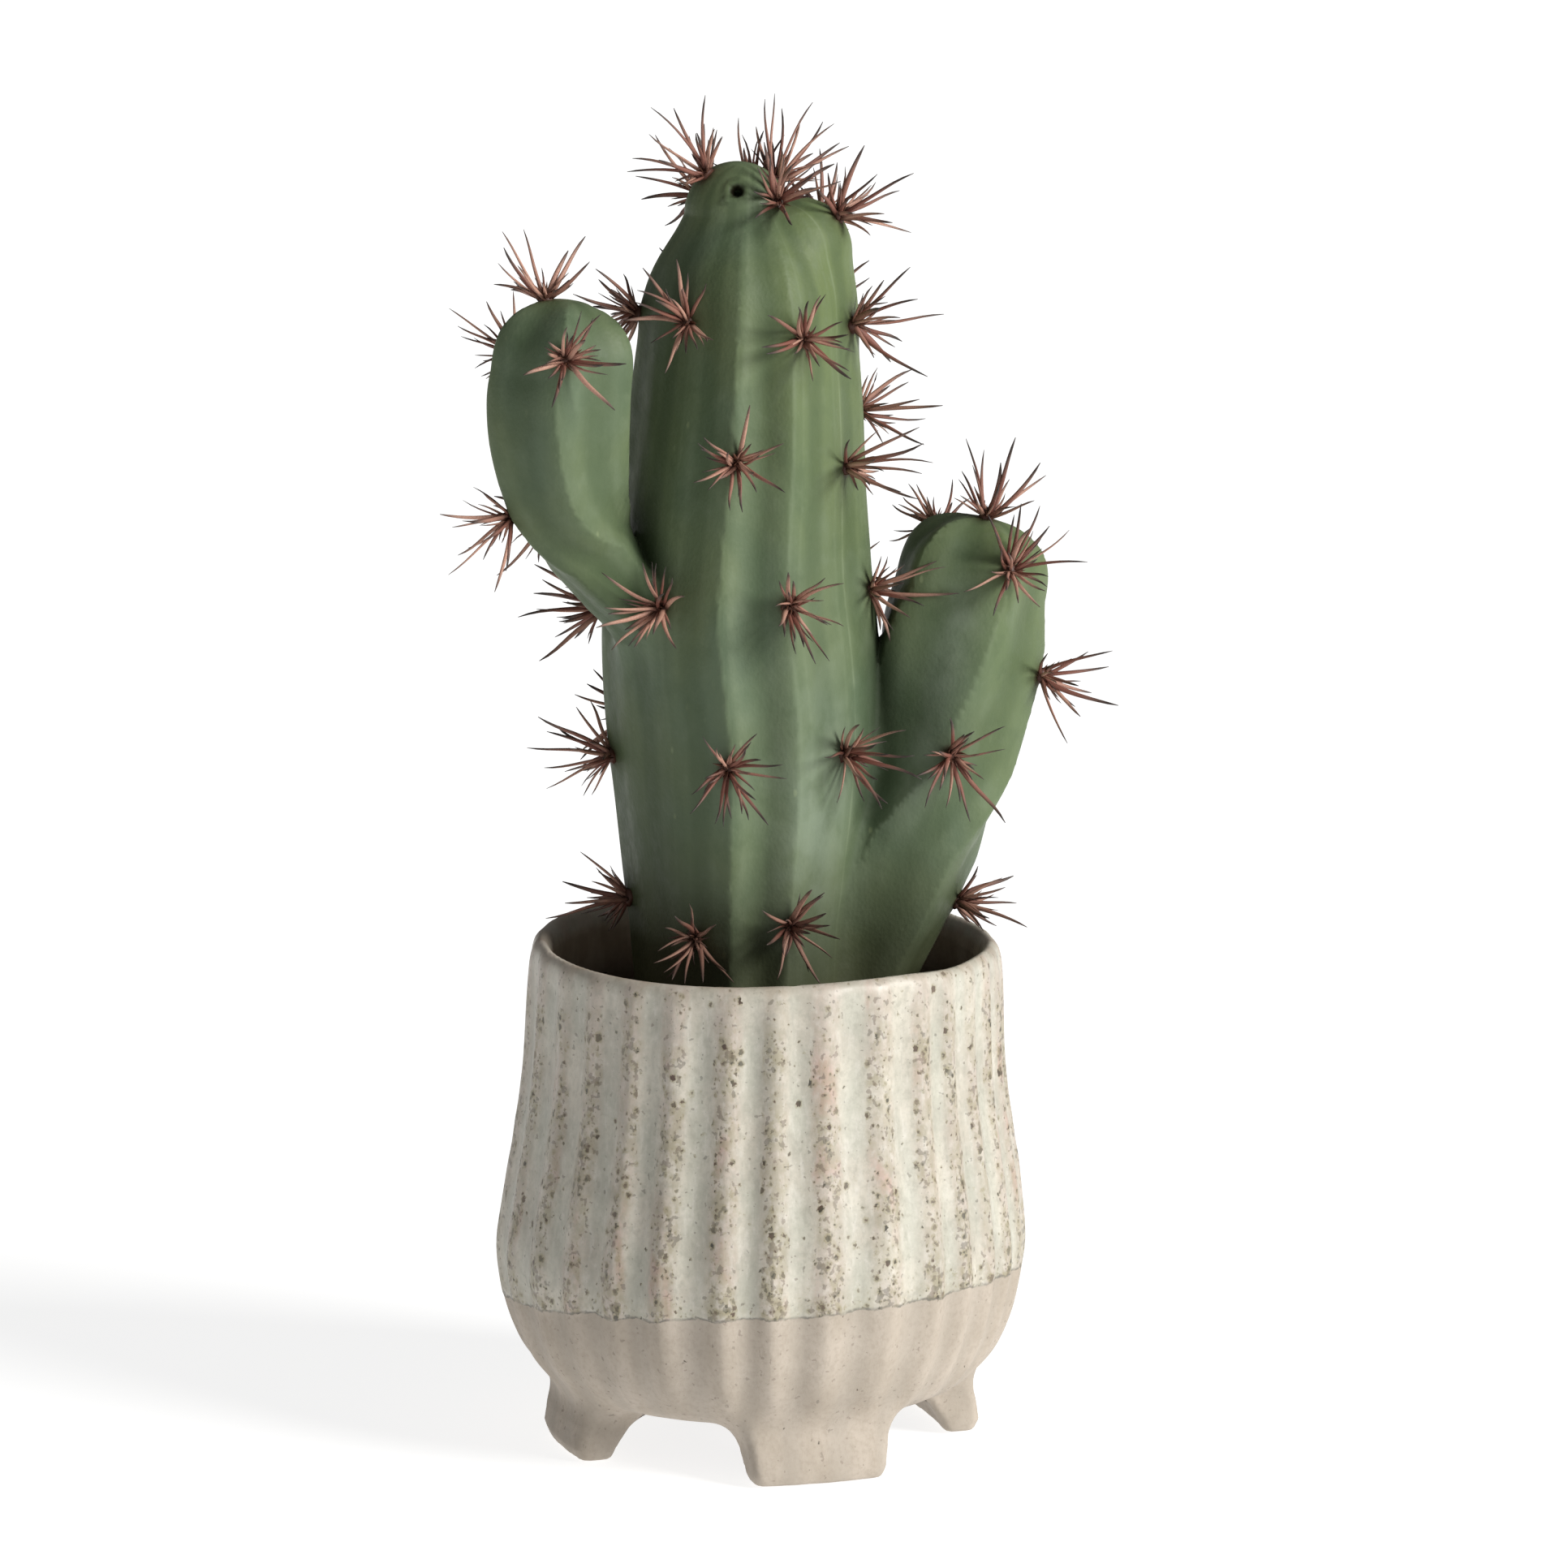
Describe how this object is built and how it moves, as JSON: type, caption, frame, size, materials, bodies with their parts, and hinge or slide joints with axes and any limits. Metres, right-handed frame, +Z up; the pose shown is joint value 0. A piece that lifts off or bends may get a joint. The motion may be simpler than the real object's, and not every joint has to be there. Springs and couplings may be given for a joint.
{
  "type": "potted cactus",
  "caption": "Columnar ribbed cactus with side arms and bristling spine bunches, planted in a fluted, half glazed ceramic pot on slab feet.",
  "frame": {"origin": "on the ground plane, in the middle of the outline of the whole plant and pot", "axes": "+Z up along the trunk; +X towards the arm that grows from the pot's rim; -Y is the front that faces the viewer; the feet rest on z = 0"},
  "size_m": [0.1574, 0.1263, 0.322],
  "materials": {
    "pot_glaze": "satin",
    "cactus_skin": "matte",
    "soil": "rough",
    "spine": "matte"
  },
  "bodies": {
    "root": {"pot": "pot_glaze", "cactus": "cactus_skin", "soil": "soil", "spines_top_left": "spine", "spines_crown_front": "spine", "spines_crown_back": "spine", "spines_top_right": "spine", "spines_top_back": "spine", "spines_top_back_left": "spine", "spines_top_back_right": "spine", "spines_upper_left": "spine", "spines_upper_front_left": "spine", "spines_upper_front_right": "spine", "spines_upper_right": "spine", "spines_upper_back_right": "spine", "spines_upper_back_left": "spine", "spines_mid_front": "spine", "spines_mid_front_right": "spine", "spines_mid_right": "spine", "spines_mid_back": "spine", "spines_mid_back_left": "spine", "spines_belly_left": "spine", "spines_belly_front_left": "spine", "spines_belly_front_right": "spine", "spines_belly_right": "spine", "spines_belly_back_right": "spine", "spines_belly_back_left": "spine", "spines_waist_left": "spine", "spines_waist_front": "spine", "spines_waist_front_right": "spine", "spines_waist_back": "spine", "spines_waist_back_left": "spine", "spines_base_left": "spine", "spines_base_front_left": "spine", "spines_base_front_right": "spine", "spines_base_back_right": "spine", "spines_base_back_left": "spine", "spines_left_arm_top": "spine", "spines_left_arm_front": "spine", "spines_left_arm_low": "spine", "spines_left_arm_back_left": "spine", "spines_left_arm_back": "spine", "spines_left_arm_back_low": "spine", "spines_right_arm_top": "spine", "spines_right_arm_front": "spine", "spines_right_arm_right": "spine", "spines_right_arm_mid": "spine", "spines_right_arm_low": "spine", "spines_right_arm_back_left": "spine", "spines_right_arm_back": "spine", "spines_right_arm_back_low": "spine"}
  },
  "joints": []
}
